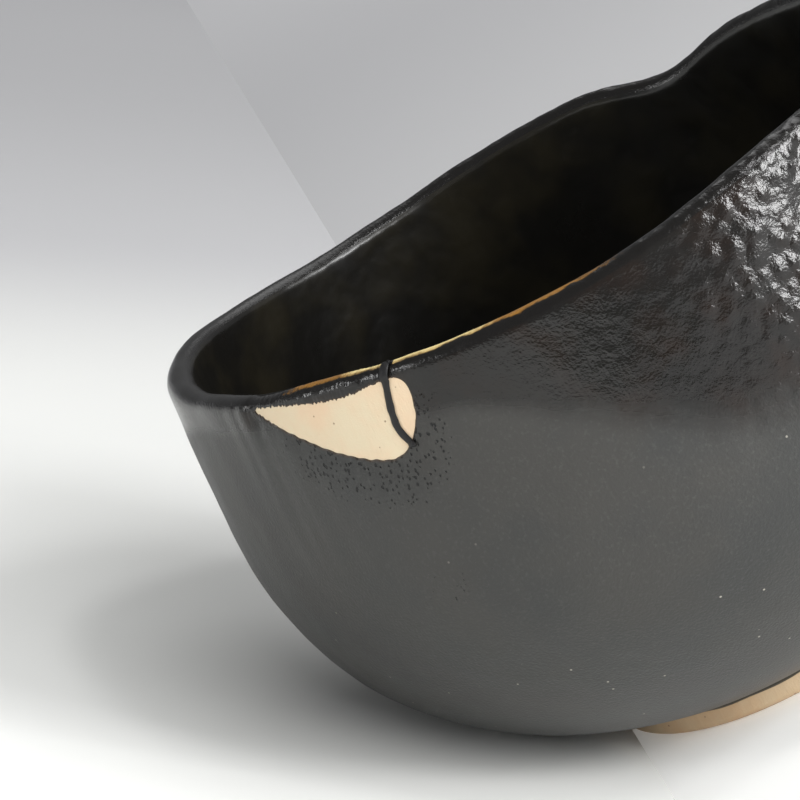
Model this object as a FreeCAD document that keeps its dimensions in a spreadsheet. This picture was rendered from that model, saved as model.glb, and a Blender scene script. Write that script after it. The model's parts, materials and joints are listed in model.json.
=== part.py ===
import FreeCAD, Part
import math
import os
import Sketcher

# A hand-formed tea bowl: a pinched clay bowl on a luted foot ring, under black glaze.
# Millimetres, +Z up, the origin at the centre of the plane that the foot stands on.
# The window in the glaze faces +X. Angles are in degrees, counted from +X towards +Y.

Vector = FreeCAD.Vector

# ---------------------------------------------------------------- driving dimensions
SIZES = {
    "rim_height": 78.0,         # mean height of the clay lip above the foot's tread
    "rim_radius": 59.6,         # outside of the clay at the lip
    "belly_radius": 62.0,       # outside of the clay at its widest
    "belly_height": 49.0,       # height of the widest place
    "wall": 4.6,                # wall at the belly
    "lip_thickness": 3.4,       # wall at the lip
    "floor_thickness": 5.5,     # clay between the foot's recess and the inside
    "pool_radius": 16.0,        # shallow tea pool in the middle of the floor
    "pool_depth": 0.8,
    "foot_radius": 25.0,        # outside of the foot ring
    "foot_height": 5.4,         # tread to the underside of the bowl
    "foot_bore": 19.5,          # inside of the foot ring at the tread
    "foot_draft": 0.7,          # how much narrower the recess is at its top
    "tread_round": 1.2,         # rounded outer corner of the tread
    "flare": 2.8,               # concave flare from the foot's waist to the bowl
    "joint_shoulder": 1.2,      # bare line between the flare and the bowl's glaze
    "glaze_start": 1.0,         # bare clay between the joint and the glaze outside
    "outer_coat": 0.45,         # thickness of the glaze outside
    "inner_coat": 0.40,         # thickness of the glaze inside
    "lip_coat": 0.30,           # thickness where the glaze runs thin over the lip
    "foot_coat": 0.35,          # thickness of the band on the foot
    "stripe_coat": 0.30,        # thickness of the brushed line in the window
    "bond_gap": 0.08,           # clearance between fired clay and the coats on it
    "coat_gap": 0.25,           # clearance between one coat's edge and the next
    "window_left": 9.3,         # pointed tip of the leaf-shaped window, left of +X
    "window_right": 15.4,       # upper right corner of the window
    "window_low_point": 10.5,   # where the window reaches lowest
    "window_tip_drop": 1.1,     # tip below the mean lip
    "window_top_drop": 2.5,     # upper right corner below the mean lip
    "window_drop": 11.9,        # lowest point below the mean lip
    "window_end_radius": 6.2,   # round right end
    "window_sweep_radius": 45.0,  # long lower edge
    "stripe_top": 14.3,         # middle of the brushed line at the window's upper edge
    "stripe_bottom": 12.8,      # and at its lower edge
    "stripe_width": 1.0,
}

# How the hands left the rim: (waves round the rim, height in mm, angle of a crest).
RIM_WAVES = ((1, 0.75, 109.0), (2, 1.75, -45.0), (3, 0.45, -52.0), (5, 0.50, 5.0))
# How far the plan is from round: (lobes, radial size in mm, angle of a lobe).
PLAN_LOBES = ((2, 0.60, 45.0), (4, 0.30, 20.0))
# A pinch down the wall beside the window's tip: (angle, spread in degrees, size in mm).
CREASE = (-9.0, 8.0, 0.45)
# A low place in the rim: its angle, its spread and how far it dips.
RIM_DIP = (-168.0, 10.0, 3.2)

LIP_COAT_START = math.radians(45.0)   # how far over the lip the main coats reach
ROUND_POLES = 40                      # control points round the bowl
STATION_STEP = 4.5                    # spacing of control points along the wall
LIP_STEP = math.radians(22.5)         # spacing of control points over the lip


def make_sheet(document):
    """Write the driving dimensions to a spreadsheet with one alias for each."""
    cells = document.addObject("Spreadsheet::Sheet", "Sizes")
    for row, (name, value) in enumerate(SIZES.items(), start=1):
        cells.set("A%d" % row, name)
        cells.set("B%d" % row, str(value))
        cells.setAlias("B%d" % row, name)
    document.recompute()
    return cells


doc = FreeCAD.newDocument("tea_bowl")
sheet = make_sheet(doc)
S = {name: float(sheet.get(name)) for name in SIZES}

JOINT_RADIUS = S["foot_radius"] + S["flare"] + S["joint_shoulder"]
FLOOR_HEIGHT = S["foot_height"] + S["floor_thickness"]
LIP_HALF = S["lip_thickness"] / 2.0
LIP_START = S["rim_height"] - LIP_HALF


# ---------------------------------------------------------------- the hand-formed surface
def smooth(t):
    """0 below 0, 1 above 1 and a smooth step between."""
    t = min(max(t, 0.0), 1.0)
    return t * t * (3.0 - 2.0 * t)


def waves(table, angle):
    """The sum of the waves in a table at an angle round the bowl."""
    return sum(size * math.cos(math.radians(count * (angle - crest)))
               for count, size, crest in table)


def dent(table, angle):
    """A local dent at an angle: its size there, fading over its spread."""
    centre, spread, size = table
    aside = ((angle - centre + 180.0) % 360.0 - 180.0) / spread
    return size * math.exp(-aside ** 2)


def hand_formed(radius, height, angle):
    """Move a point of the round bowl to where the potter's hands left it."""
    rise = (height - S["foot_height"]) / (S["rim_height"] - S["foot_height"])
    away = smooth(2.0 * rise) * smooth(2.0 * radius / S["rim_radius"] - 0.7)
    radius += waves(PLAN_LOBES, angle) * away + dent(CREASE, angle) * smooth(3.0 * rise - 2.0)
    height += waves(RIM_WAVES, angle) * smooth(rise) * away
    height -= dent(RIM_DIP, angle) * smooth(2.0 * rise - 1.0)
    turn = math.radians(angle)
    return Vector(radius * math.cos(turn), radius * math.sin(turn), height)


def spaced(start, stop, step):
    """Evenly spaced values from start to stop, about a step apart, with both ends."""
    count = max(2, int(math.ceil(abs(stop - start) / step)))
    return [start + (stop - start) * k / count for k in range(count + 1)]


def wall_above_belly(belly, lip, heights):
    """Stations of a wall that leans in from the belly to the lip."""
    span = LIP_START - S["belly_height"]
    return [(belly - (belly - lip) * ((z - S["belly_height"]) / span) ** 1.6, z) for z in heights]


def outside_profile():
    """(radius, height) stations of the clay outside, from the foot joint up to the lip."""
    lift = S["belly_height"] - S["foot_height"]
    depth = lift / math.sqrt(1.0 - (JOINT_RADIUS / S["belly_radius"]) ** 2)
    turns = spaced(math.asin(lift / depth), 0.0, STATION_STEP / depth)
    turns.insert(1, turns[0] - S["glaze_start"] / depth)
    below = [(S["belly_radius"] * math.cos(a), S["belly_height"] - depth * math.sin(a))
             for a in turns]
    heights = spaced(S["belly_height"], LIP_START, STATION_STEP)[1:]
    return below + wall_above_belly(S["belly_radius"], S["rim_radius"], heights)


def lip_arc(start, stop):
    """Stations over the rounded lip: 0 is its outside, pi its inside."""
    middle = S["rim_radius"] - LIP_HALF
    return [(middle + LIP_HALF * math.cos(a), LIP_START + LIP_HALF * math.sin(a))
            for a in spaced(start, stop, LIP_STEP)]


def inside_profile():
    """Stations of the clay inside, from the lip down to the tea pool's flat floor."""
    belly = S["belly_radius"] - S["wall"]
    heights = spaced(LIP_START, S["belly_height"], STATION_STEP)
    above = wall_above_belly(belly, S["rim_radius"] - S["lip_thickness"], heights)
    depth = S["belly_height"] - FLOOR_HEIGHT
    steep = math.acos(S["pool_radius"] / belly)
    below = [(belly * math.cos(a), S["belly_height"] - depth * math.sin(a))
             for a in spaced(0.0, steep, STATION_STEP / depth)[1:]]
    edge = below[-1][1]
    bottom = FLOOR_HEIGHT - S["pool_depth"]
    pool = [(S["pool_radius"] * share, edge + (bottom - edge) * smooth((1.0 - share) / 0.4))
            for share in (0.9, 0.8, 0.7, 0.6, 0.5)]
    return above + below + pool


def offset(stations, distance):
    """The same stations moved off the clay, square to the profile."""
    moved = []
    for k, (radius, height) in enumerate(stations):
        before = stations[max(k - 1, 0)]
        after = stations[min(k + 1, len(stations) - 1)]
        run = math.hypot(after[0] - before[0], after[1] - before[1])
        moved.append((radius + distance * (after[1] - before[1]) / run,
                      height - distance * (after[0] - before[0]) / run))
    return moved


def through(points, wraps):
    """Control points of a uniform cubic spline that passes through these points."""
    last = len(points) - 1
    poles = []
    for k, point in enumerate(points):
        if wraps or 0 < k < last:
            before = points[k - 1]
            after = points[(k + 1) % len(points)]
            poles.append(tuple((8.0 * p - q - n) / 6.0 for p, q, n in zip(point, before, after)))
        else:
            poles.append(tuple(point))
    return poles


def formed_face(stations):
    """The face that hand-formed stations sweep once round the bowl."""
    degree = min(3, len(stations) - 1)
    rows = []
    for radius, height in through(stations, False) if degree == 3 else stations:
        ring = [hand_formed(radius, height, 360.0 * k / ROUND_POLES) for k in range(ROUND_POLES)]
        rows.append([Vector(*pole) for pole in through(ring, True)])
    poles = [list(column) for column in zip(*rows)]
    inner = len(stations) - degree - 1
    surface = Part.BSplineSurface()
    surface.buildFromPolesMultsKnots(
        poles, [1] * (ROUND_POLES + 1), [degree + 1] + [1] * inner + [degree + 1],
        list(range(ROUND_POLES + 1)), list(range(inner + 2)), True, False, 3, degree)
    return surface.toShape()


def flat_disc(face, height):
    """The flat face that closes a swept face at the ring that lies at this height."""
    rings = [edge for edge in face.Edges if edge.isClosed() and edge.BoundBox.ZLength < 1e-6
             and abs(edge.BoundBox.ZMin - height) < 1e-3]
    return Part.Face(Part.Wire(rings[:1]))


def sewn_solid(faces):
    """One closed solid from faces that meet edge to edge."""
    skin = Part.Compound(faces)
    skin.sewShape(1e-4)
    solid = Part.Solid(skin.Shells[0])
    if solid.Volume < 0.0:
        solid.reverse()
    return solid


def coat_solid(run, thickness):
    """A coat of glaze of this thickness over a run of clay stations."""
    near = offset(run, S["bond_gap"])
    far = offset(run, S["bond_gap"] + thickness)
    edges = [[near[0], far[0]], [near[-1], far[-1]]]
    return sewn_solid([formed_face(stations) for stations in [near, far] + edges])


def add_formed(name, shape):
    """A document object for a hand-formed shape, which no sketch or primitive can make."""
    feature = doc.addObject("Part::Feature", name)
    feature.Shape = shape
    feature.Placement = FreeCAD.Placement()
    feature.Label = name
    return feature


# ---------------------------------------------------------------- sketches
def amount(terms):
    """The sum of named sizes, each of which may begin with a minus sign."""
    return sum(-S[term[1:]] if term.startswith("-") else S[term] for term in terms)


def formula(terms):
    """The same sum as an expression on the sheet."""
    return "".join(term.replace("-", "-Sizes.") if term.startswith("-") else "+Sizes." + term
                   for term in terms).lstrip("+")


def arc_between(start, stop, radius, turn):
    """The shorter arc between two points; turn is 1 where it runs anticlockwise."""
    across, up = stop[0] - start[0], stop[1] - start[1]
    chord = math.hypot(across, up)
    rise = math.sqrt(radius ** 2 - (chord / 2.0) ** 2) * turn / chord
    centre = ((start[0] + stop[0]) / 2.0 - up * rise, (start[1] + stop[1]) / 2.0 + across * rise)
    angles = [math.atan2(point[1] - centre[1], point[0] - centre[0]) for point in (start, stop)]
    circle = Part.Circle(Vector(centre[0], centre[1], 0.0), Vector(0.0, 0.0, 1.0), radius)
    return Part.ArcOfCircle(circle, *angles[::turn])


def bound(sketch, constraint, terms):
    """Add a size constraint that follows an expression on the sheet."""
    number = sketch.addConstraint(constraint)
    sketch.setExpression("Constraints[%d]" % number, formula(terms))


def draw_outline(sketch, corners, arcs):
    """Draw a closed outline. Corners are pairs of sums of sizes; arcs gives the edges that
    are round as {edge: (radius, turn)}, and every other edge is straight."""
    places = [(amount(across), amount(up)) for across, up in corners]
    count = len(corners)
    ends = []
    for k in range(count):
        start, stop = places[k], places[(k + 1) % count]
        if k in arcs:
            radius, turn = arcs[k]
            edge = sketch.addGeometry(arc_between(start, stop, amount(radius), turn), False)
            ends.append((edge, (1, 2)[::turn]))
        else:
            line = Part.LineSegment(Vector(*start, 0.0), Vector(*stop, 0.0))
            ends.append((sketch.addGeometry(line, False), (1, 2)))
    for k in range(count):
        edge, (first, last) = ends[k]
        following, (near, _) = ends[(k + 1) % count]
        sketch.addConstraint(Sketcher.Constraint("Coincident", edge, last, following, near))
        across, up = corners[k]
        for kind, terms, place, axis in (("DistanceX", across, places[k][0], -2),
                                         ("DistanceY", up, places[k][1], -1)):
            if terms:
                rule = Sketcher.Constraint(kind, -1, 1, edge, first, place)
                bound(sketch, rule, terms)
            else:
                sketch.addConstraint(Sketcher.Constraint("PointOnObject", edge, first, axis))
    for k, (radius, turn) in arcs.items():
        bound(sketch, Sketcher.Constraint("Radius", ends[k][0], amount(radius)), radius)


def sketched_body(name, plane, corners, arcs):
    """A PartDesign body with one closed outline on one of its own origin planes."""
    body = doc.addObject("PartDesign::Body", name)
    body.Label = name
    planes = {feature.Role: feature for feature in body.Origin.OriginFeatures}
    sketch = body.newObject("Sketcher::SketchObject", name + "_outline")
    sketch.AttachmentSupport = [(planes[plane], "")]
    sketch.MapMode = "FlatFace"
    draw_outline(sketch, corners, arcs)
    return body, sketch


def turned_body(name, corners, arcs):
    """A PartDesign body turned about the Z axis."""
    body, sketch = sketched_body(name, "XZ_Plane", corners, arcs)
    turned = body.newObject("PartDesign::Revolution", name + "_turned")
    turned.Profile = sketch
    turned.ReferenceAxis = (sketch, ["V_Axis"])
    turned.Angle = 360.0
    body.Tip = turned
    return body


def cutter_body(name, corners, arcs):
    """A PartDesign body padded outwards along +X from the middle of the bowl."""
    body, sketch = sketched_body(name, "YZ_Plane", corners, arcs)
    pad = body.newObject("PartDesign::Pad", name + "_pad")
    pad.Profile = sketch
    pad.setExpression("Length", "Sizes.belly_radius * 1.2")
    body.Tip = pad
    return body


# ---------------------------------------------------------------- clay
OUTSIDE = outside_profile()
INSIDE = inside_profile()


def make_clay_body():
    """The pinched bowl: wall, lip and floor in one piece of clay."""
    outer = formed_face(OUTSIDE + lip_arc(0.0, math.pi / 2.0)[1:])
    inner = formed_face(lip_arc(math.pi / 2.0, math.pi)[:-1] + INSIDE)
    underside = flat_disc(outer, S["foot_height"])
    pool = flat_disc(inner, FLOOR_HEIGHT - S["pool_depth"])
    return add_formed("clay_body", sewn_solid([outer, inner, underside, pool]))


def make_foot_ring():
    """The ring of clay luted under the bowl, which leaves a recess inside it."""
    return turned_body("foot_ring", [
        (("foot_bore",), ()),
        (("foot_radius", "-tread_round"), ()),
        (("foot_radius",), ("tread_round",)),
        (("foot_radius",), ("foot_height", "-flare")),
        (("foot_radius", "flare"), ("foot_height",)),
        (("foot_bore", "-foot_draft"), ("foot_height",)),
    ], {1: (("tread_round",), 1), 3: (("flare",), -1)})


# ---------------------------------------------------------------- glaze
def make_window_cutter():
    """The leaf-shaped patch that was kept bare when the outside was glazed."""
    return cutter_body("window_cutter", [
        (("-window_left",), ("rim_height", "-window_tip_drop")),
        (("window_low_point",), ("rim_height", "-window_drop")),
        (("window_right",), ("rim_height", "-window_top_drop")),
    ], {0: (("window_sweep_radius",), 1), 1: (("window_end_radius",), 1)})


def make_stripe_cutter():
    """The slanting path of the line that a brush drew down the window."""
    return cutter_body("stripe_cutter", [
        (("stripe_bottom",), ("rim_height", "-window_drop", "-stripe_width")),
        (("stripe_bottom", "stripe_width"), ("rim_height", "-window_drop", "-stripe_width")),
        (("stripe_top", "stripe_width"), ("rim_height",)),
        (("stripe_top",), ("rim_height",)),
    ], {})


def make_outer_glaze(window):
    """The black glaze outside, from the foot joint to the lip, with its bare window."""
    coat = add_formed("outer_coat", coat_solid(
        OUTSIDE[1:] + lip_arc(0.0, LIP_COAT_START)[1:], S["outer_coat"]))
    glaze = doc.addObject("Part::Cut", "outer_glaze")
    glaze.Base = coat
    glaze.Tool = window
    glaze.Label = "outer_glaze"
    return glaze


def make_window_stripe(window, path):
    """The thin black line brushed on the bare clay of the window."""
    skin = add_formed("stripe_skin", coat_solid(OUTSIDE[-6:], S["stripe_coat"]))
    stripe = doc.addObject("Part::MultiCommon", "window_stripe")
    stripe.Shapes = [skin, window, path]
    stripe.Label = "window_stripe"
    return stripe


def make_lip_glaze():
    """The thin amber coat over the crest of the lip."""
    start = LIP_COAT_START + S["coat_gap"] / LIP_HALF
    return add_formed("lip_glaze", coat_solid(lip_arc(start, math.pi - start), S["lip_coat"]))


def make_inner_glaze():
    """The glaze inside: down the wall and over the floor and the tea pool."""
    run = lip_arc(math.pi - LIP_COAT_START, math.pi)[:-1] + INSIDE
    near = offset(run, S["bond_gap"])
    far = offset(run, S["bond_gap"] + S["inner_coat"])
    near_face, far_face = formed_face(near), formed_face(far)
    return add_formed("inner_glaze", sewn_solid([
        near_face, far_face, formed_face([near[0], far[0]]),
        flat_disc(near_face, near[-1][1]), flat_disc(far_face, far[-1][1])]))


def make_foot_glaze():
    """The band of glaze in the foot's flare, which ends above the bare tread."""
    across = ("foot_radius", "bond_gap")
    up = ("foot_height", "-bond_gap")
    radius = ("flare", "-bond_gap")
    return turned_body("foot_glaze", [
        (across, ("foot_height", "-flare")),
        (across + ("foot_coat",), ("foot_height", "-flare")),
        (("foot_radius", "flare"), up + ("-foot_coat",)),
        (("foot_radius", "flare"), up),
    ], {1: (radius + ("-foot_coat",), -1), 3: (radius, 1)})


window_cutter = make_window_cutter()
stripe_cutter = make_stripe_cutter()
NODES = [
    make_clay_body(),
    make_foot_ring(),
    make_outer_glaze(window_cutter),
    make_window_stripe(window_cutter, stripe_cutter),
    make_lip_glaze(),
    make_inner_glaze(),
    make_foot_glaze(),
]
doc.recompute()

for item in doc.Objects:
    if "Invalid" in item.State or "Error" in item.State:
        raise RuntimeError("%s did not compute: %s" % (item.Label, item.State))
for node in NODES:
    if node.Shape.isNull() or not node.Shape.isValid() or not node.Shape.Solids:
        raise RuntimeError("%s has no valid solid" % node.Label)

os.makedirs("parts", exist_ok=True)
for node in NODES:
    node.Shape.exportStep("parts/%s.step" % node.Label)
    print("%-14s %8.1f mm3, %d solid(s)" % (node.Label, node.Shape.Volume, len(node.Shape.Solids)))
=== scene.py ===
import json
import math

import bpy
import numpy as np
from mathutils import Matrix, Vector

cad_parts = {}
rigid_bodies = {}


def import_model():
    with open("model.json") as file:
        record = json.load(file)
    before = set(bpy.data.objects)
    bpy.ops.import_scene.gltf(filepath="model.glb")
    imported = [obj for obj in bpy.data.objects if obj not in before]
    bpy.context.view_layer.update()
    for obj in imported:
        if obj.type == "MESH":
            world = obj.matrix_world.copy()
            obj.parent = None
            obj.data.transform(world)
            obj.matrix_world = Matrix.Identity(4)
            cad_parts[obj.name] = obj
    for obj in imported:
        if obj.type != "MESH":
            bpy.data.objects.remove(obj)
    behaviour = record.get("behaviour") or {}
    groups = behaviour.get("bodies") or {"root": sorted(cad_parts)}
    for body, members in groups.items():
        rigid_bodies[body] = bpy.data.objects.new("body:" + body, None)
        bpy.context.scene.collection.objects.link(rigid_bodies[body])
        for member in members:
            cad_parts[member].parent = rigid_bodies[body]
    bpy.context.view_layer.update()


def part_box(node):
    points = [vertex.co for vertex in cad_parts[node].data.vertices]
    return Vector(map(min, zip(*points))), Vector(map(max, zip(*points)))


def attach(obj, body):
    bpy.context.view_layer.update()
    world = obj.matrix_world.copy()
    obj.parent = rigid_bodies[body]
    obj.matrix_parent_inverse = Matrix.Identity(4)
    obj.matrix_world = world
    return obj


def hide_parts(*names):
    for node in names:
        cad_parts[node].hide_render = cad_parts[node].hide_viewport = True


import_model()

bl_info = {
    "name": "Hand-formed tea bowl",
    "version": (1, 0, 0),
    "blender": (4, 5, 0),
    "location": "View3D > Sidebar > Tea bowl",
    "description": "Glazes a pinched tea bowl and sets it on a pale studio floor",
    "category": "Add Mesh",
}

MM = 0.001
_, FOOT_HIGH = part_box("foot_ring")

# How the hands left the rim and the plan: (waves round the bowl, size, angle of a crest).
RIM_WAVES = ((1, 0.75 * MM, 109.0), (2, 1.75 * MM, -45.0),
             (3, 0.45 * MM, -52.0), (5, 0.50 * MM, 5.0))
PLAN_LOBES = ((2, 0.60 * MM, 45.0), (4, 0.30 * MM, 20.0))
# Local dents: (angle, spread in degrees, size).
CREASE = (-9.0, 8.0, 0.45 * MM)
RIM_DIP = (-168.0, 10.0, 3.2 * MM)
# Slow dents that the hands left all over the wall.
DENT_GRAIN = 13.0 * MM
DENT_DEPTH = 0.55 * MM
DENTS_FROM = 12.0 * MM         # no dents below this height
DENTS_FADE = 20.0 * MM         # and in full this much higher


# ---------------------------------------------------------------- sizes and colours
def length(name, default, description):
    return bpy.props.FloatProperty(name=name, default=default, unit="LENGTH",
                                   description=description)


def colour(name, default, description):
    return bpy.props.FloatVectorProperty(name=name, default=default, size=4, min=0.0, max=1.0,
                                         subtype="COLOR", description=description)


class BowlSizes(bpy.types.PropertyGroup):
    rim_height: length("Rim height", 78.0 * MM, "Mean height of the clay lip")
    rim_radius: length("Rim radius", 59.6 * MM, "Outside of the clay at the lip")
    belly_radius: length("Belly radius", 62.0 * MM, "Outside of the clay at its widest")
    belly_height: length("Belly height", 49.0 * MM, "Height of the widest place")
    wall: length("Wall", 4.6 * MM, "Wall at the belly")
    lip: length("Lip", 3.4 * MM, "Wall at the lip")
    floor: length("Floor", 10.9 * MM, "Height of the inside floor")
    pool: length("Tea pool", 16.0 * MM, "Radius of the shallow pool in the floor")
    pool_depth: length("Pool depth", 0.8 * MM, "Depth of the tea pool")
    foot_radius: length("Foot radius", 25.0 * MM, "Outside of the foot ring")
    foot_bore: length("Foot bore", 19.5 * MM, "Inside of the foot ring at its tread")
    foot_height: length("Foot height", FOOT_HIGH.z, "Tread to the underside of the bowl")
    flare: length("Flare", 2.8 * MM, "Concave flare between the foot and the bowl")
    joint: length("Joint radius", 29.0 * MM, "Where the wall meets the flat underside")
    coat: length("Glaze", 0.48 * MM, "Outside of the glaze above the clay")


class BowlColours(bpy.types.PropertyGroup):
    satin: colour("Satin black", (0.030, 0.031, 0.030, 1.0), "Glaze low on the wall")
    satin_warm: colour("Warm satin black", (0.038, 0.037, 0.034, 1.0), "Its warmer clouds")
    gloss_black: colour("Glossy black", (0.006, 0.0055, 0.005, 1.0), "Glaze where it ran thick")
    # Painted shade: the near-black colour in the depth of a pinhole stands in for the shade inside
    # the hole.
    pinhole_shade: colour("Pit", (0.002, 0.002, 0.002, 1.0), "Depth of a pinhole in the glaze")
    rust: colour("Rust", (0.050, 0.026, 0.010, 1.0), "Brown breaks in the glaze")
    brown_haze: colour("Brown haze", (0.014, 0.007, 0.004, 1.0), "Brown haze in the thick glaze")
    grain: colour("Grain", (0.075, 0.075, 0.070, 1.0), "Fine pale grain of the satin glaze")
    streak: colour("Streak", (0.10, 0.10, 0.095, 1.0), "Pale runs beside the crease")
    sand: colour("Sand", (0.42, 0.40, 0.34, 1.0), "Grains that show through")
    amber: colour("Amber", (0.27, 0.125, 0.018, 1.0), "Thin glaze on the lip")
    cream: colour("Cream", (0.80, 0.66, 0.30, 1.0), "Thinnest glaze on the lip")
    inside: colour("Inside black", (0.0045, 0.0042, 0.0036, 1.0), "Glaze inside")
    inside_warm: colour("Inside brown", (0.010, 0.0085, 0.005, 1.0), "Warm clouds inside")
    line: colour("Line", (0.014, 0.014, 0.015, 1.0), "The brushed line")
    clay_pale: colour("Pale clay", (0.665, 0.565, 0.40, 1.0), "Bare clay in the window")
    clay_pink: colour("Pink clay", (0.69, 0.52, 0.355, 1.0), "Its pinker clouds")
    clay_drag: colour("Drag lines", (0.66, 0.49, 0.31, 1.0), "Faint lines in the bare clay")
    clay_speck: colour("Specks", (0.16, 0.09, 0.05, 1.0), "Dark specks in the bare clay")
    foot_pale: colour("Pale foot", (0.48, 0.365, 0.235, 1.0), "Bare clay of the foot")
    foot_toast: colour("Toasted foot", (0.48, 0.32, 0.185, 1.0), "Toasted clouds of the foot")
    # The colour of the dark band in the foot's hollow flare.
    foot_black: colour("Foot band", (0.020, 0.020, 0.014, 1.0), "Glaze in the foot's flare")
    floor_near: colour("Near floor", (0.95, 0.95, 0.93, 1.0), "Floor round the bowl")
    # Painted shade: the slope is the same pale floor, coloured darker to even out the stronger
    # light that falls on it.
    slope_near: colour("Near slope", (0.75, 0.755, 0.735, 1.0), "Slope under the tipped bowl")
    # Painted shade: the floor colours below grow grey away from the bowl, standing in for light
    # falling off across the floor.
    floor_edge: colour("Floor edge", (0.54, 0.54, 0.545, 1.0), "Level floor away from the bowl")
    level_far: colour("Level far floor", (0.50, 0.50, 0.51, 1.0), "Level floor far behind the bowl")
    floor_middle: colour("Middle floor", (0.55, 0.55, 0.56, 1.0), "Floor a little behind the bowl")
    floor_far: colour("Far floor", (0.42, 0.42, 0.43, 1.0), "Floor far behind the bowl")


def sizes():
    return bpy.context.scene.tea_bowl_sizes


# ---------------------------------------------------------------- the potter's profile
def smooth(t):
    """0 below 0, 1 above 1 and a smooth step between."""
    t = np.clip(t, 0.0, 1.0)
    return t * t * (3.0 - 2.0 * t)


def between(value, start, rise, stop, fall):
    """0 outside, rising to 1 after the start and falling again after the stop."""
    return smooth((value - start) / rise) * (1.0 - smooth((value - stop) / fall))


def spaced(start, stop, step):
    """Evenly spaced values from start to stop, about a step apart, with both ends."""
    return list(np.linspace(start, stop, max(2, math.ceil(abs(stop - start) / step)) + 1))


LEAN = 1.6                     # how late the wall above the belly leans in


def wall_above_belly(belly, lip, heights):
    """Stations of a wall that leans in from the belly to the lip."""
    s = sizes()
    span = s.rim_height - s.lip / 2.0 - s.belly_height
    return [(belly - (belly - lip) * max((z - s.belly_height) / span, 0.0) ** LEAN, z)
            for z in heights]


def outside_profile(step):
    """(radius, height) stations of the clay outside, from the foot joint up to the lip."""
    s = sizes()
    lift = s.belly_height - s.foot_height
    depth = lift / math.sqrt(1.0 - (s.joint / s.belly_radius) ** 2)
    below = [(s.belly_radius * math.cos(a), s.belly_height - depth * math.sin(a))
             for a in spaced(math.asin(lift / depth), 0.0, step / depth)]
    heights = spaced(s.belly_height, s.rim_height - s.lip / 2.0, step)[1:]
    return below + wall_above_belly(s.belly_radius, s.rim_radius, heights)


def lip_arc(start, stop, count):
    """Stations over the rounded lip: 0 is its outside, 180 degrees its inside."""
    s = sizes()
    half = s.lip / 2.0
    return [(s.rim_radius - half + half * math.cos(math.radians(a)),
             s.rim_height - half + half * math.sin(math.radians(a)))
            for a in np.linspace(start, stop, count + 1)]


def inside_profile(step):
    """Stations of the clay inside, from the lip down to the tea pool and its middle."""
    s = sizes()
    belly = s.belly_radius - s.wall
    heights = spaced(s.rim_height - s.lip / 2.0, s.belly_height, step)
    above = wall_above_belly(belly, s.rim_radius - s.lip, heights)
    depth = s.belly_height - s.floor
    below = [(belly * math.cos(a), s.belly_height - depth * math.sin(a))
             for a in spaced(0.0, math.acos(s.pool / belly), step / depth)[1:]]
    edge, bottom = below[-1][1], s.floor - s.pool_depth
    pool = [(s.pool * share, edge + (bottom - edge) * float(smooth((1.0 - share) / 0.4)))
            for share in (0.9, 0.8, 0.7, 0.6, 0.4, 0.2, 0.03)]
    return above + below + pool


def offset(stations, distance):
    """The same stations moved off the clay, square to the profile."""
    moved = []
    for k, (radius, height) in enumerate(stations):
        before, after = stations[max(k - 1, 0)], stations[min(k + 1, len(stations) - 1)]
        run = math.hypot(after[0] - before[0], after[1] - before[1])
        moved.append((radius + distance * (after[1] - before[1]) / run,
                      height - distance * (after[0] - before[0]) / run))
    return moved


# ---------------------------------------------------------------- mesh tools
def clear_selection():
    if bpy.context.object and bpy.context.object.mode != "OBJECT":
        bpy.ops.object.mode_set(mode="OBJECT")
    bpy.ops.object.select_all(action="DESELECT")


def take(piece):
    """Make a piece the only selected and active object."""
    clear_selection()
    piece.select_set(True)
    bpy.context.view_layer.objects.active = piece


def apply_modifier(piece, kind, **settings):
    """Add a modifier with these settings and apply it."""
    take(piece)
    modifier = piece.modifiers.new(kind.lower(), kind)
    for name, value in settings.items():
        setattr(modifier, name, value)
    bpy.ops.object.modifier_apply(modifier=modifier.name)


def raise_rings(name, stations, around):
    """Throw a wall from a circle: each ring is pulled out of the last, scaled and lifted."""
    clear_selection()
    radius, height = stations[0]
    bpy.ops.mesh.primitive_circle_add(vertices=around, radius=radius, location=(0.0, 0.0, height))
    piece = bpy.context.object
    piece.name = piece.data.name = name
    bpy.ops.object.transform_apply(location=True, rotation=False, scale=False)
    bpy.ops.object.mode_set(mode="EDIT")
    bpy.ops.mesh.select_mode(type="VERT")
    bpy.ops.mesh.select_all(action="SELECT")
    for (narrow, low), (wide, high) in zip(stations, stations[1:]):
        bpy.ops.mesh.extrude_region_move(TRANSFORM_OT_translate={"value": (0.0, 0.0, high - low)})
        bpy.ops.transform.resize(value=(wide / narrow, wide / narrow, 1.0))
    bpy.ops.object.mode_set(mode="OBJECT")
    return piece


def places(mesh):
    """The vertices of a mesh as rows of x, y, z."""
    flat = np.empty(len(mesh.vertices) * 3)
    mesh.vertices.foreach_get("co", flat)
    return flat.reshape(-1, 3)


def set_places(mesh, rows):
    mesh.vertices.foreach_set("co", rows.ravel())
    mesh.update()


def cylindrical(rows):
    """Radius, height and angle in degrees of each row."""
    x, y, z = rows.T
    return np.hypot(x, y), z, np.degrees(np.arctan2(y, x))


def from_front(angle):
    """The same angle between -180 and 180 degrees."""
    return (angle + 180.0) % 360.0 - 180.0


def waves(table, angle):
    return sum(size * np.cos(np.radians(count * (angle - crest))) for count, size, crest in table)


def dent(table, angle):
    """A local dent at an angle: its size there, fading over its spread."""
    centre, spread, size = table
    return size * np.exp(-(from_front(angle - centre) / spread) ** 2)


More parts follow.
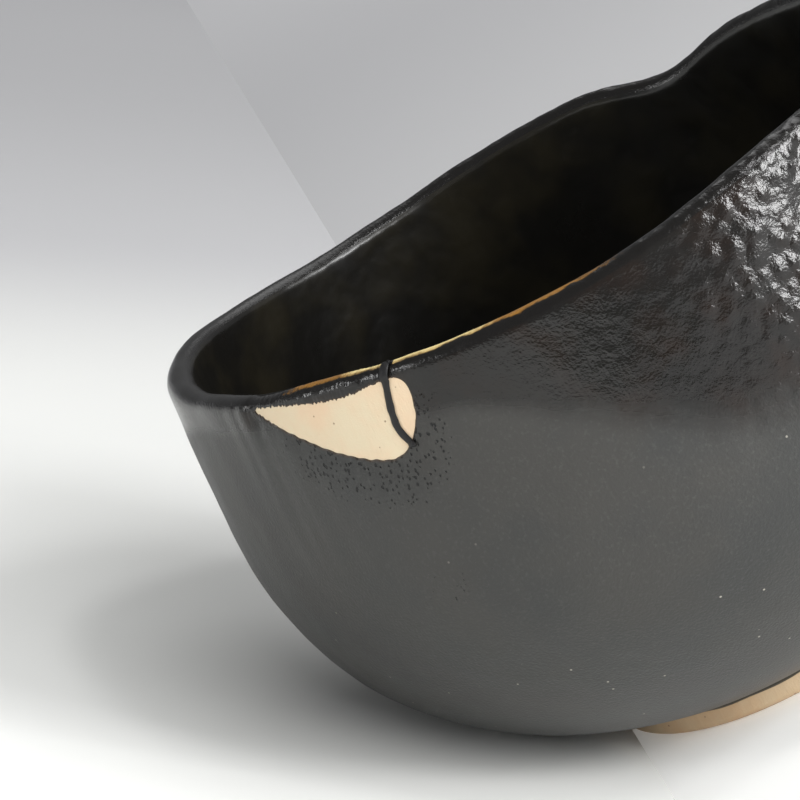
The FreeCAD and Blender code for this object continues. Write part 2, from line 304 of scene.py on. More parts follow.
def hand_form(piece):
    """Press the round bowl into the shape that the potter's hands left."""
    s = sizes()
    rows = places(piece.data)
    radius, height, angle = cylindrical(rows)
    rise = (height - s.foot_height) / (s.rim_height - s.foot_height)
    away = smooth(2.0 * rise) * smooth(2.0 * radius / s.rim_radius - 0.7)
    new = radius + waves(PLAN_LOBES, angle) * away
    new += dent(CREASE, angle) * smooth(3.0 * rise - 2.0)
    rows[:, 0] *= new / radius
    rows[:, 1] *= new / radius
    rows[:, 2] += waves(RIM_WAVES, angle) * smooth(rise) * away
    rows[:, 2] -= dent(RIM_DIP, angle) * smooth(2.0 * rise - 1.0)
    set_places(piece.data, rows)


def finish_piece(piece, nodes, material):
    """Smooth the piece, give it its finish, attach it to the bowl's body and hide its CAD nodes."""
    take(piece)
    bpy.ops.object.shade_smooth()
    piece.data.materials.clear()
    piece.data.materials.append(material)
    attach(piece, "root")
    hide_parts(*nodes)


def face_outwards(piece):
    """Merge doubles and turn every face of a closed or open shell outwards."""
    take(piece)
    bpy.ops.object.mode_set(mode="EDIT")
    bpy.ops.mesh.select_all(action="SELECT")
    bpy.ops.mesh.remove_doubles(threshold=0.001 * MM)
    bpy.ops.mesh.normals_make_consistent(inside=False)
    bpy.ops.object.mode_set(mode="OBJECT")


def pick_faces(piece, keep):
    """Select only the faces whose middle keep() accepts, and go into edit mode."""
    take(piece)
    mesh = piece.data
    middles = np.empty(len(mesh.polygons) * 3)
    mesh.polygons.foreach_get("center", middles)
    chosen = keep(middles.reshape(-1, 3))
    mesh.vertices.foreach_set("select", np.zeros(len(mesh.vertices), dtype=bool))
    mesh.edges.foreach_set("select", np.zeros(len(mesh.edges), dtype=bool))
    mesh.polygons.foreach_set("select", chosen)
    bpy.context.tool_settings.mesh_select_mode = (False, False, True)
    bpy.ops.object.mode_set(mode="EDIT")


def refine(piece, keep, cuts):
    """Divide the faces that keep() accepts into smaller ones."""
    pick_faces(piece, keep)
    bpy.ops.mesh.subdivide(number_cuts=cuts, smoothness=1.0)
    bpy.ops.object.mode_set(mode="OBJECT")


def roughen(piece, name, kind, grain, size, group=""):
    """Push the surface in and out by a solid texture, only where a vertex group says."""
    texture = bpy.data.textures.new(name, kind)
    texture.noise_scale = grain
    apply_modifier(piece, "DISPLACE", texture=texture, strength=size, mid_level=0.5,
                   vertex_group=group)


def dent_slowly(piece, name, height=None):
    """Leave the hands' slow dents in a piece; with heights, only above the underside."""
    group = ""
    if height is not None:
        group = group_from(piece, "wall", smooth((height - DENTS_FROM) / DENTS_FADE))
    roughen(piece, name, "CLOUDS", DENT_GRAIN, DENT_DEPTH, group)


def store(piece, name, values):
    """Keep one number for each vertex, for the materials to read."""
    attribute = piece.data.attributes.new(name, "FLOAT", "POINT")
    attribute.data.foreach_set("value", np.asarray(values, dtype=np.float32))


GROUP_LEVELS = 16


def group_from(piece, name, values):
    """A vertex group whose weights are rounded to a few levels."""
    group = piece.vertex_groups.new(name=name)
    steps = np.round(np.asarray(values) * GROUP_LEVELS).astype(int)
    for step in range(1, GROUP_LEVELS + 1):
        group.add(np.nonzero(steps == step)[0].tolist(), step / GROUP_LEVELS, "REPLACE")
    return name


# ---------------------------------------------------------------- places on the formed wall
def rim_top(angle):
    """Height of the clay lip at an angle round the bowl."""
    return sizes().rim_height + waves(RIM_WAVES, angle) - dent(RIM_DIP, angle)


def around(angle):
    """Distance round the rim from the middle of the window."""
    return sizes().rim_radius * np.radians(from_front(angle))


# Places on the leaf-shaped window's outline: (distance round the rim, height).
WINDOW_TIP = (-9.6 * MM, 77.3 * MM)
WINDOW_LOW = (10.7 * MM, 65.9 * MM)
WINDOW_RIGHT = (16.75 * MM, 73.5 * MM)
WINDOW_SHOULDER = (13.6 * MM, 75.75 * MM)
WINDOW_SAG = (7.8 * MM, 75.4 * MM)
# Powers: how hollow the long lower edge is, and how square its two corners on the right are.
SWEEP, HEEL, CORNER = 1.45, 1.85, 3.0


def swept(start, stop, power, count=24):
    """Places from start down to stop, level at the stop."""
    t = np.linspace(0.0, 1.0, count + 1)
    return np.column_stack((start[0] + (stop[0] - start[0]) * t,
                            stop[1] + (start[1] - stop[1]) * (1.0 - t) ** power))


def cornered(level, upright, power, count=12):
    """Places round a corner, level where it starts and upright where it stops."""
    t = np.linspace(0.0, math.pi / 2.0, count + 1)
    ease_out, ease_in = np.sin(t) ** (2.0 / power), np.maximum(np.cos(t), 0.0) ** (2.0 / power)
    return np.column_stack((level[0] + (upright[0] - level[0]) * ease_out,
                            upright[1] + (level[1] - upright[1]) * ease_in))


def eased(start, stop, count=12):
    """Places from start to stop, level at both."""
    t = np.linspace(0.0, 1.0, count + 1)
    return np.column_stack((start[0] + (stop[0] - start[0]) * t,
                            start[1] + (stop[1] - start[1]) * smooth(t)))


def window_outline():
    """The closed outline of the window, anticlockwise from its tip."""
    runs = (swept(WINDOW_TIP, WINDOW_LOW, SWEEP),
            cornered(WINDOW_LOW, WINDOW_RIGHT, HEEL),
            cornered(WINDOW_SHOULDER, WINDOW_RIGHT, CORNER)[::-1],
            eased(WINDOW_SHOULDER, WINDOW_SAG),
            eased(WINDOW_SAG, WINDOW_TIP))
    return np.concatenate([run[:-1] for run in runs])


def outside_window(across, up):
    """Distance from the window's edge, below 0 inside the window."""
    start = window_outline()
    run = np.roll(start, -1, axis=0) - start
    nearest = np.full(len(across), np.inf)
    inside = np.zeros(len(across), dtype=bool)
    for (x, y), (dx, dy) in zip(start, run):
        t = np.clip(((across - x) * dx + (up - y) * dy) / (dx * dx + dy * dy), 0.0, 1.0)
        nearest = np.minimum(nearest, np.hypot(across - x - t * dx, up - y - t * dy))
        crosses = (y > up) != (y + dy > up)
        inside ^= crosses & (across < x + (up - y) / (dy if dy else 1e-12) * dx)
    return np.where(inside, -nearest, nearest)


def ripple(across, up, waves_across, waves_up, seed):
    """A fixed irregular ripple between about -1 and 1."""
    rng = np.random.default_rng(seed)
    total = np.zeros_like(across)
    for _ in range(7):
        total += np.sin(across * waves_across * rng.uniform(0.5, 1.6)
                        + up * waves_up * rng.uniform(-1.0, 1.0) + rng.uniform(0.0, 6.3))
    return total / 3.5


# ---------------------------------------------------------------- node sums
class Wire:
    """A shader socket; sums on it add Math nodes."""

    def __init__(self, nodes, socket):
        self.nodes, self.socket = nodes, socket

    def sum(self, operation, *values):
        return self.nodes.add("ShaderNodeMath", {"operation": operation}, values)

    def __add__(self, other):
        return self.sum("ADD", self, other)

    def __radd__(self, other):
        return self.sum("ADD", other, self)

    def __sub__(self, other):
        return self.sum("SUBTRACT", self, other)

    def __rsub__(self, other):
        return self.sum("SUBTRACT", other, self)

    def __mul__(self, other):
        return self.sum("MULTIPLY", self, other)

    def __truediv__(self, other):
        return self.sum("DIVIDE", self, other)

    def step(self, low, high):
        """0 at low, 1 at high and smooth between."""
        return self.nodes.add("ShaderNodeMapRange", {"interpolation_type": "SMOOTHSTEP"},
                              {"Value": self, "From Min": low, "From Max": high})


class Nodes:
    """The node tree of one material."""

    def __init__(self, name):
        self.material = bpy.data.materials.new(name)
        self.material.use_nodes = True
        self.tree = self.material.node_tree
        self.shader = self.tree.nodes["Principled BSDF"]
        self.place = self.add("ShaderNodeTexCoord", {}, {}, "Object")

    def link(self, socket, value):
        if isinstance(value, Wire):
            self.tree.links.new(value.socket, socket)
        else:
            socket.default_value = value

    def add(self, kind, settings, values, output=0):
        """Add a node: its settings first, then the values or wires of its sockets."""
        node = self.tree.nodes.new(kind)
        for name, value in settings.items():
            setattr(node, name, value)
        pairs = values.items() if isinstance(values, dict) else enumerate(values)
        for name, value in pairs:
            self.link(node.inputs[name], value)
        return Wire(self, node.outputs[output])

    def set(self, **values):
        """Set the shader's sockets, given with _ for a space."""
        for name, value in values.items():
            self.link(self.shader.inputs[name.replace("_", " ")], value)

    def read(self, name):
        return self.add("ShaderNodeAttribute", {"attribute_name": name}, {}, "Fac")

    def stretched(self, x, y, z):
        return self.add("ShaderNodeVectorMath", {"operation": "MULTIPLY"}, (self.place, (x, y, z)))

    def noise(self, grain, detail=3.0, place=None):
        return self.add("ShaderNodeTexNoise", {},
                        {"Vector": place or self.place, "Scale": 1.0 / grain,
                         "Detail": detail, "Roughness": 0.55})

    def cells(self, grain, place=None):
        return self.add("ShaderNodeTexVoronoi", {},
                        {"Vector": place or self.place, "Scale": 1.0 / grain})

    def mix(self, share, first, second):
        node = self.tree.nodes.new("ShaderNodeMix")
        node.data_type = "RGBA"
        for number, value in ((0, share), (6, first), (7, second)):
            self.link(node.inputs[number], value)
        return Wire(self, node.outputs[2])

    def bump(self, height, distance, strength=1.0, under=None):
        values = {"Height": height, "Distance": distance, "Strength": strength}
        if under:
            values["Normal"] = under
        return self.add("ShaderNodeBump", {}, values)


def shade(name):
    """The colour kept for a finish in the bowl's colour settings."""
    return tuple(getattr(bpy.context.scene.tea_bowl_colours, name))


# ---------------------------------------------------------------- finishes
def pebbled(n, gloss):
    """The skin of the glaze: pebbled where it ran thick and glossy, nearly flat elsewhere."""
    beads = n.add("ShaderNodeTexVoronoi", {"feature": "SMOOTH_F1"},
                  {"Vector": n.place, "Scale": 1.0 / (1.9 * MM), "Smoothness": 0.7})
    small = n.cells(0.8 * MM)
    fine = n.noise(0.40 * MM, 2.0)
    lumps = (1.0 - beads) * gloss * 0.9 - small * gloss * 0.07 + fine * (0.24 - gloss * 0.10)
    return n.bump(lumps, 0.45 * MM, 0.8)


def make_black_glaze():
    """Black glaze: satin low on the wall, glossy and brownish where it ran thick."""
    n = Nodes("black_glaze")
    patch = n.noise(9.0 * MM, 3.0)
    gloss = (n.read("gloss") + n.read("pitted") * 0.35 + (patch - 0.5) * 0.4).step(0.15, 0.85)
    window = n.read("outside_window") / MM
    cloud = n.noise(16.0 * MM, 4.0)
    colour = n.mix(cloud.step(0.3, 0.7), shade("satin"), shade("satin_warm"))
    colour = n.mix(gloss * 0.9, colour, shade("gloss_black"))
    rusty = n.noise(7.0 * MM, 4.0).step(0.42, 0.72) * gloss
    colour = n.mix(rusty * 0.5, colour, shade("brown_haze"))
    speckle = n.noise(0.55 * MM, 3.0)
    colour = n.mix((1.0 - gloss) * speckle.step(0.5, 0.8) * 0.35, colour, shade("grain"))
    # Pinholes that gas left in the glaze round the window's lower edge.
    holes = n.cells(0.66 * MM, n.stretched(1.0, 1.0, 0.8))
    size = n.noise(1.1 * MM, 1.0) * 0.34 + n.read("pitted") * 0.38 - 0.27
    pits = (size - holes).step(-0.05, 0.06)
    # Painted shade: each pinhole is darkened to near black for the shade inside it.
    colour = n.mix(pits * 0.95, colour, shade("pinhole_shade"))
    # Pale grains of sand that show through low on the wall.
    grains = n.cells(3.4 * MM)
    sand = (1.0 - grains.step(0.035, 0.06)) * n.read("sandy")
    colour = n.mix(sand, colour, shade("sand"))
    edge = (1.0 - window.step(0.05, 0.5)) * 0.7
    colour = n.mix(edge, colour, shade("rust"))
    runs = n.noise(2.6 * MM, 3.0, n.stretched(1.0, 1.0, 0.10))
    streaks = runs.step(0.42, 0.72) * n.read("streaked")
    colour = n.mix(streaks * 0.4, colour, shade("streak"))
    rough = 0.43 + (cloud - 0.5) * 0.12 - gloss * 0.27 + streaks * 0.06 + sand * 0.3
    n.set(Base_Color=colour, Roughness=rough, Specular_IOR_Level=0.4,
          Normal=n.bump(1.0 - pits, 0.25 * MM, 1.0, pebbled(n, n.read("pebbly"))))
    return n.material


def make_lip_glaze():
    """Amber to cream where the glaze runs thin over the lip, black where it does not."""
    n = Nodes("amber_glaze")
    run = n.read("run") / MM + (n.noise(2.6 * MM, 3.0) - 0.5) * 1.2
    amber = n.read("amber")
    broken = n.noise(1.3 * MM, 3.0)
    line = run.step(-0.70, -0.3) * (1.0 - run.step(0.4, 0.9))
    line = line * (amber + (broken - 0.5) * 0.7).step(0.3, 0.62)
    cream = run.step(-0.9, 0.2) * (broken * 0.7 + n.read("gilded")).step(0.62, 1.05)
    colour = n.mix(cream, shade("amber"), shade("cream"))
    colour = n.mix(line, shade("gloss_black"), colour)
    n.set(Base_Color=colour, Roughness=0.22 + line * 0.12, Normal=pebbled(n, n.read("pebbly")))
    return n.material


def make_inner_glaze():
    """Deep glossy black inside, a little brown where the light catches it."""
    n = Nodes("inner_black_glaze")
    cloud = n.noise(14.0 * MM, 3.0)
    colour = n.mix(cloud.step(0.4, 0.7), shade("inside"), shade("inside_warm"))
    lumps = n.noise(7.0 * MM, 2.0) + n.noise(1.6 * MM, 1.0) * 0.06
    n.set(Base_Color=colour, Roughness=0.24 + cloud * 0.1, Normal=n.bump(lumps, 0.45 * MM, 0.8))
    return n.material


def make_clay(name, pale, dark):
    """Bare fired clay: sandy, with faint drag lines and a few dark specks."""
    n = Nodes(name)
    cloud = n.noise(7.0 * MM, 4.0)
    drag = n.noise(0.5 * MM, 2.0, n.stretched(1.0, 1.0, 0.14))
    grain = n.noise(0.22 * MM, 2.0)
    colour = n.mix(cloud.step(0.35, 0.7), shade(pale), shade(dark))
    colour = n.mix(drag.step(0.45, 0.75) * 0.12, colour, shade("clay_drag"))
    specks = 1.0 - n.cells(2.1 * MM).step(0.05, 0.09)
    colour = n.mix(specks * 0.75, colour, shade("clay_speck"))
    n.set(Base_Color=colour, Roughness=0.72 + (grain - 0.5) * 0.2,
          Normal=n.bump(grain * 0.6 + drag * 0.7, 0.12 * MM, 0.7))
    return n.material


def make_line_glaze():
    """The brushed black line: satin, a little uneven."""
    n = Nodes("stripe_glaze")
    cloud = n.noise(1.2 * MM, 2.0)
    colour = n.mix(cloud, shade("line"), shade("gloss_black"))
    n.set(Base_Color=colour, Roughness=0.42 + cloud * 0.15, Specular_IOR_Level=0.35,
          Normal=n.bump(cloud, 0.2 * MM, 0.6))
    return n.material


def make_foot_band():
    """A thin dark band in the foot's hollow flare, brown at its edges."""
    n = Nodes("foot_dark_glaze")
    cloud = n.noise(3.0 * MM, 3.0)
    brown = n.read("band_edge") + (cloud - 0.5) * 0.5
    colour = n.mix(brown.step(0.45, 0.8), shade("foot_black"), shade("rust"))
    n.set(Base_Color=colour, Roughness=0.32 + cloud * 0.15, Normal=n.bump(cloud, 0.4 * MM, 0.5))
    return n.material


# ---------------------------------------------------------------- pieces
AROUND = 96                    # faces round the bowl before it is divided
FOOT_AROUND = 160              # faces round the foot
STEP = 3.6 * MM                # height of a ring of faces
LIP_WIDTH = 1.9 * MM           # how far the lip's own glaze reaches each way from the crest
FAR = 9.0 * MM                 # stands for any place well away from the window


def wall_stations():
    """Stations of the clay from the joint up over the lip and down to the pool."""
    return outside_profile(STEP) + lip_arc(0.0, 180.0, 12)[1:-1] + inside_profile(STEP)


def run_along(rows, stations):
    """Distance along the wall from the lip's crest, below 0 outside the bowl and above 0 inside."""
    line = np.array(stations)
    lengths = np.concatenate(([0.0], np.cumsum(np.hypot(*np.diff(line, axis=0).T))))
    lengths -= lengths[line[:, 1].argmax()]
    radius, height, _ = cylindrical(rows)
    best, run = np.full(len(rows), np.inf), np.zeros(len(rows))
    for start, stop, length in zip(line, line[1:], lengths):
        way = stop - start
        size = math.hypot(*way)
        off, over = radius - start[0], height - start[1]
        share = np.clip((off * way[0] + over * way[1]) / size ** 2, 0.0, 1.0)
        gap = np.hypot(off - share * way[0], over - share * way[1])
        closer = gap < best
        best, run = np.where(closer, gap, best), np.where(closer, length + share * size, run)
    return run


def read_run(mesh):
    values = np.empty(len(mesh.vertices))
    mesh.attributes["run"].data.foreach_get("value", values)
    return values


def near_window(rows):
    """True near the window, where the glaze's edge needs small faces."""
    _, height, angle = cylindrical(rows)
    across, run = around(angle), run_along(rows, wall_stations())
    beside = (across > -16.0 * MM) & (across < 18.5 * MM)
    return beside & (run < 1.0 * MM) & (height > 63.5 * MM)


def in_pebbled_band(rows):
    """True over the thick, pebbled glaze that faces the window's right."""
    _, height, angle = cylindrical(rows)
    run = run_along(rows, wall_stations())
    facing = (angle > 0.0) & (angle < 112.0)
    return facing & (run < 0.5 * MM) & (height > 48.0 * MM) & ~near_window(rows)


def gloss_depth(angle):
    """How far the thick glaze ran down the outside from the lip."""
    angle = angle % 360.0
    run = smooth((angle - 8.0) / 62.0) * (1.0 - 0.6 * smooth((angle - 140.0) / 70.0))
    return (3.5 + 27.0 * run * (1.0 - smooth((angle - 285.0) / 50.0))) * MM


# Runs and furrows in the glaze beside the crease: (angle, spread, size).
FOLDS = ((-9.6, 0.9, 0.28 * MM), (-12.0, 1.4, -0.22 * MM), (-15.2, 1.0, -0.10 * MM))


def open_window(piece):
    """Thin the glaze to nothing over the window and cut the bare patch out of it."""
    s = sizes()
    mesh = piece.data
    rows = places(mesh)
    _, height, angle = cylindrical(rows)
    across = around(angle)
    edge = outside_window(across, height)
    torn = smooth((height - 74.0 * MM) / (1.5 * MM)) * (1.0 - smooth((across - 15.0 * MM) / MM))
    edge -= torn * (0.10 + 0.16 * ripple(across, height, 9.0 / MM, 1.2 / MM, 3)) * MM
    edge += 0.07 * MM * ripple(across, height, 2.5 / MM, 2.5 / MM, 5)
    edge = np.where(read_run(mesh) < 1.0 * MM, edge, FAR)
    full = 0.45 * smooth((edge + 0.2 * MM) / (0.6 * MM)) + 0.55 * smooth(edge / (3.0 * MM))
    thin = (s.coat + 0.14 * MM) * (1.0 - full)
    fold = sum(dent(run, angle) for run in FOLDS)
    fold *= smooth((height - 60.0 * MM) / (9.0 * MM)) * smooth((edge - 0.5 * MM) / MM)
    thin += fold * (read_run(mesh) < -1.2 * MM)
    normals = np.empty(len(mesh.vertices) * 3)
    mesh.vertices.foreach_get("normal", normals)
    set_places(mesh, rows - normals.reshape(-1, 3) * thin[:, None])
    store(piece, "outside_window", np.clip(edge, -1.0 * MM, 5.0 * MM))
    deep = edge < -0.75 * MM
    take(piece)
    mesh.polygons.foreach_set("select", np.zeros(len(mesh.polygons), dtype=bool))
    mesh.edges.foreach_set("select", np.zeros(len(mesh.edges), dtype=bool))
    mesh.vertices.foreach_set("select", deep)
    bpy.context.tool_settings.mesh_select_mode = (True, False, False)
    bpy.ops.object.mode_set(mode="EDIT")
    bpy.ops.mesh.delete(type="VERT")
    bpy.ops.object.mode_set(mode="OBJECT")


def split_off(piece, name, keep):
    """Part the faces that keep() accepts from a piece, as a piece of their own."""
    before = set(bpy.data.objects)
    mesh = piece.data
    starts = np.empty(len(mesh.polygons), dtype=int)
    mesh.polygons.foreach_get("loop_start", starts)
    corners = np.empty(len(mesh.loops), dtype=int)
    mesh.loops.foreach_get("vertex_index", corners)
    totals = np.empty(len(mesh.polygons), dtype=int)
    mesh.polygons.foreach_get("loop_total", totals)
    middle = np.add.reduceat(read_run(mesh)[corners], starts) / totals
    pick_faces(piece, lambda middles: keep(middle))
    bpy.ops.mesh.separate(type="SELECTED")
    bpy.ops.object.mode_set(mode="OBJECT")
    part = (set(bpy.data.objects) - before).pop()
    part.name = part.data.name = name
    return part


PEBBLE_GRAIN = 2.3 * MM
PEBBLE_DEPTH = 0.22 * MM


def outside_share(piece):
    """1 outside the bowl, 0 inside it."""
    return 1.0 - smooth(read_run(piece.data) / (2.0 * MM))


def mark_gloss(piece, height, angle):
    """Store where the glaze is glossy and where it is pebbled, and give the second back."""
    outer, across, turned = outside_share(piece), around(angle), angle % 360.0
    below, depth = rim_top(angle) - height, gloss_depth(angle)
    gloss = smooth(0.55 + (depth - below) / (3.0 * MM + 0.7 * depth)) * outer
    store(piece, "gloss", gloss)
    strip = between(across, -9.0 * MM, 3.0 * MM, 14.0 * MM, 3.0 * MM)
    rightward = between(turned, 10.0, 25.0, 150.0, 60.0)
    rough_side = between(turned, 12.0, 75.0, 200.0, 90.0)
    pebbly = gloss * np.maximum(rough_side, 0.7 * strip)
    high = smooth((height - 35.0 * MM) / (25.0 * MM))
    pebbly = np.maximum(pebbly, 0.28 * rightward * high * outer)
    store(piece, "pebbly", pebbly)
    return pebbly


def mark_pits(piece, height, angle):
    """Store where pinholes, grains of sand and pale streaks show outside."""
    outer, across = outside_share(piece), around(angle)
    edge = outside_window(across, height)
    pitted = 1.0 - smooth((edge - 3.5 * MM) / (6.5 * MM))
    pitted *= smooth((74.5 * MM - height) / (3.0 * MM)) * smooth((across + 9.0 * MM) / (5.0 * MM))
    pitted *= 1.0 - 0.6 * smooth((across - 17.0 * MM) / (5.0 * MM))
    low = np.exp(-((across - 9.0 * MM) / (10.0 * MM)) ** 2
                 - ((height - 47.0 * MM) / (5.0 * MM)) ** 2)
    store(piece, "pitted", np.clip(pitted + 0.6 * low, 0.0, 1.0) * outer)
    store(piece, "sandy", smooth((58.0 * MM - height) / (25.0 * MM)) * outer)
    beside_crease = np.exp(-((angle + 16.0) / 11.0) ** 2)
    store(piece, "streaked", beside_crease * smooth((height - 40.0 * MM) / (25.0 * MM)) * outer)


def mark_amber(piece, angle):
    """Store where the glaze on the lip runs thin to amber and to cream."""
    across, turned = around(angle), angle % 360.0
    amber = 0.62 + 0.38 * smooth((across - 12.0 * MM) / (3.0 * MM))
    amber *= between(angle, -9.0, 12.0, 26.0, 34.0)
    elsewhere = 0.45 * between(turned, 100.0, 20.0, 150.0, 25.0)
    under_line = np.exp(-((across - 15.3 * MM) / (0.75 * MM)) ** 4)
    store(piece, "amber", np.clip(amber + elsewhere, 0.0, 1.0) * (1.0 - under_line))
    store(piece, "gilded", between(angle, 4.0, 9.0, 21.0, 14.0))


class TEABOWL_OT_glaze(bpy.types.Operator):
    """Pour the glaze over the outside, the lip and the inside, and open the window"""
    bl_idname = "tea_bowl.glaze"
    bl_label = "Glaze"

    def execute(self, context):
        s = sizes()
        piece = raise_rings("outer_glaze_coat", offset(wall_stations(), s.coat), AROUND)
        bpy.ops.object.mode_set(mode="EDIT")
        bpy.ops.mesh.merge(type="CENTER")
        bpy.ops.object.mode_set(mode="OBJECT")
        apply_modifier(piece, "SUBSURF", levels=2, render_levels=2)
        refine(piece, near_window, 5)
        refine(piece, in_pebbled_band, 1)
        store(piece, "run", run_along(places(piece.data), wall_stations()))
        hand_form(piece)
        face_outwards(piece)
        _, height, angle = cylindrical(places(piece.data))
        pebbly = mark_gloss(piece, height, angle)
        mark_pits(piece, height, angle)
        mark_amber(piece, angle)
        dent_slowly(piece, "slow_dents", height)
        roughen(piece, "pebbles", "CLOUDS", PEBBLE_GRAIN, PEBBLE_DEPTH,
                group_from(piece, "pebbled", pebbly))
        open_window(piece)
        lip = split_off(piece, "lip_glaze_line", lambda run: np.abs(run) < LIP_WIDTH)
        inner = split_off(piece, "inner_glaze_coat", lambda run: run >= LIP_WIDTH)
        finish_piece(piece, ["outer_glaze"], make_black_glaze())
        finish_piece(lip, ["lip_glaze"], make_lip_glaze())
        finish_piece(inner, ["inner_glaze"], make_inner_glaze())
        return {"FINISHED"}


class TEABOWL_OT_clay(bpy.types.Operator):
    """Throw the bare clay body that shows in the window and under the bowl"""
    bl_idname = "tea_bowl.clay"
    bl_label = "Clay body"

    def execute(self, context):
        s = sizes()
        under = [(r, s.foot_height) for r in np.linspace(1.0 * MM, s.joint - 0.3 * MM, 9)]
        piece = raise_rings("bare_clay", under + wall_stations(), AROUND)
        bpy.ops.object.mode_set(mode="EDIT")
        bpy.ops.mesh.merge(type="CENTER")
        bpy.ops.mesh.select_all(action="DESELECT")
        bpy.ops.mesh.select_mode(type="EDGE")
        bpy.ops.mesh.select_non_manifold(extend=False)
        bpy.ops.mesh.edge_face_add()
        bpy.ops.object.mode_set(mode="OBJECT")
        apply_modifier(piece, "SUBSURF", levels=1, render_levels=1)
        refine(piece, near_window, 1)
        hand_form(piece)
        face_outwards(piece)
        dent_slowly(piece, "slow_dents_in_clay", places(piece.data)[:, 2])
        finish_piece(piece, ["clay_body"],
                     make_clay("buff_clay", "clay_pale", "clay_pink"))
        return {"FINISHED"}


def wall_places(angle, height, lift):
    """Points on the formed wall at an angle and a real height, lifted off the clay."""
    s = sizes()
    profile = outside_profile(0.6 * MM)
    heights = [z for _, z in profile]
    radii = [r for r, _ in profile]
    base = height.copy()
    for _ in range(4):
        rise = smooth((base - s.foot_height) / (s.rim_height - s.foot_height))
        base = height - waves(RIM_WAVES, angle) * rise
    rise = (base - s.foot_height) / (s.rim_height - s.foot_height)
    radius = np.interp(base, heights, radii)
    half = s.lip / 2.0
    over = np.clip(base - (s.rim_height - half), 0.0, half)
    radius = np.where(over > 0.0, s.rim_radius - half + np.sqrt(half ** 2 - over ** 2), radius)
    radius += waves(PLAN_LOBES, angle) + dent(CREASE, angle) * smooth(3.0 * rise - 2.0)
    radius += lift * np.sqrt(1.0 - (over / half) ** 2)
    turn = np.radians(angle)
    return np.column_stack((radius * np.cos(turn), radius * np.sin(turn),
                            height + lift * over / half))


# Places on the middle of the brushed line: (distance round the rim, height).
LINE_TOP = (15.5 * MM, 78.3 * MM)
LINE_BEND = (13.1 * MM, 69.9 * MM)
LINE_END = (14.4 * MM, 66.5 * MM)
LINE_WIDTH = 1.08 * MM
LINE_BLOB = 0.14               # where along the line the brush left a thicker drop
LINE_BLOB_SPREAD = 0.057
LINE_TAPER = 0.026             # share of the line over which each end tapers


def line_middle(along):
    """The middle of the brushed line, leaning over its upper part and hooked at its end."""
    height = LINE_TOP[1] + (LINE_END[1] - LINE_TOP[1]) * along
    above = np.clip((height - LINE_BEND[1]) / (LINE_TOP[1] - LINE_BEND[1]), 0.0, 1.0)
    below = np.clip((LINE_BEND[1] - height) / (LINE_BEND[1] - LINE_END[1]), 0.0, 1.0)
    across = LINE_BEND[0] + (LINE_TOP[0] - LINE_BEND[0]) * above ** 1.5
    return across + (LINE_END[0] - LINE_BEND[0]) * below ** 2, height


class TEABOWL_OT_line(bpy.types.Operator):
    """Brush the black line down over the window"""
    bl_idname = "tea_bowl.line"
    bl_label = "Brushed line"

    def execute(self, context):
        s = sizes()
        clear_selection()
        bpy.ops.mesh.primitive_grid_add(x_subdivisions=14, y_subdivisions=110, size=2.0)
        piece = context.object
        piece.name = piece.data.name = "brushed_line"
        rows = places(piece.data)
        side, along = rows[:, 0].copy(), (1.0 - rows[:, 1]) / 2.0
        middle, level = line_middle(along)
        blob = np.exp(-((along - LINE_BLOB) / LINE_BLOB_SPREAD) ** 2)
        ends = smooth(along / LINE_TAPER) * smooth((1.0 - along) / LINE_TAPER)
        uneven = 0.05 * ripple(along, np.zeros_like(along), 30.0, 0.0, 9)
        half = (LINE_WIDTH / 2.0 + (0.22 * blob + uneven) * MM) * (0.25 + 0.75 * ends)
        across, height = middle + side * half, level + side * half * 0.12
        edge = outside_window(across, height)
        below = s.coat * smooth((edge + 0.25 * MM) / (0.75 * MM))
        dome = (1.0 - side ** 2) * (0.18 + 0.1 * blob) * MM * ends
        angle = np.degrees(across / s.rim_radius)
        height = np.minimum(height, rim_top(angle) - 0.05 * MM)
        set_places(piece.data, wall_places(angle, height, below + dome + 0.12 * MM * ends))
        dent_slowly(piece, "slow_dents_in_line")
        apply_modifier(piece, "SOLIDIFY", thickness=0.3 * MM, offset=-1.0)
        face_outwards(piece)
        finish_piece(piece, ["window_stripe"], make_line_glaze())
        return {"FINISHED"}


TREAD_ROUND = 1.2 * MM         # rounded outer corner of the tread
BAND_LIFT = 0.3 * MM           # how far the dark band stands off the flare
BAND_WANDER = ((3, 0.25 * MM, 20.0), (7, 0.16 * MM, 50.0), (16, 0.08 * MM, 5.0))


def flare_arc(lift, degrees):
    """Stations up the foot's hollow flare, lifted off it."""
    s = sizes()
    radius, waist = s.flare - lift, s.foot_height - s.flare
    return [(s.foot_radius + s.flare - radius * math.cos(math.radians(a)),
             waist + radius * math.sin(math.radians(a))) for a in degrees]


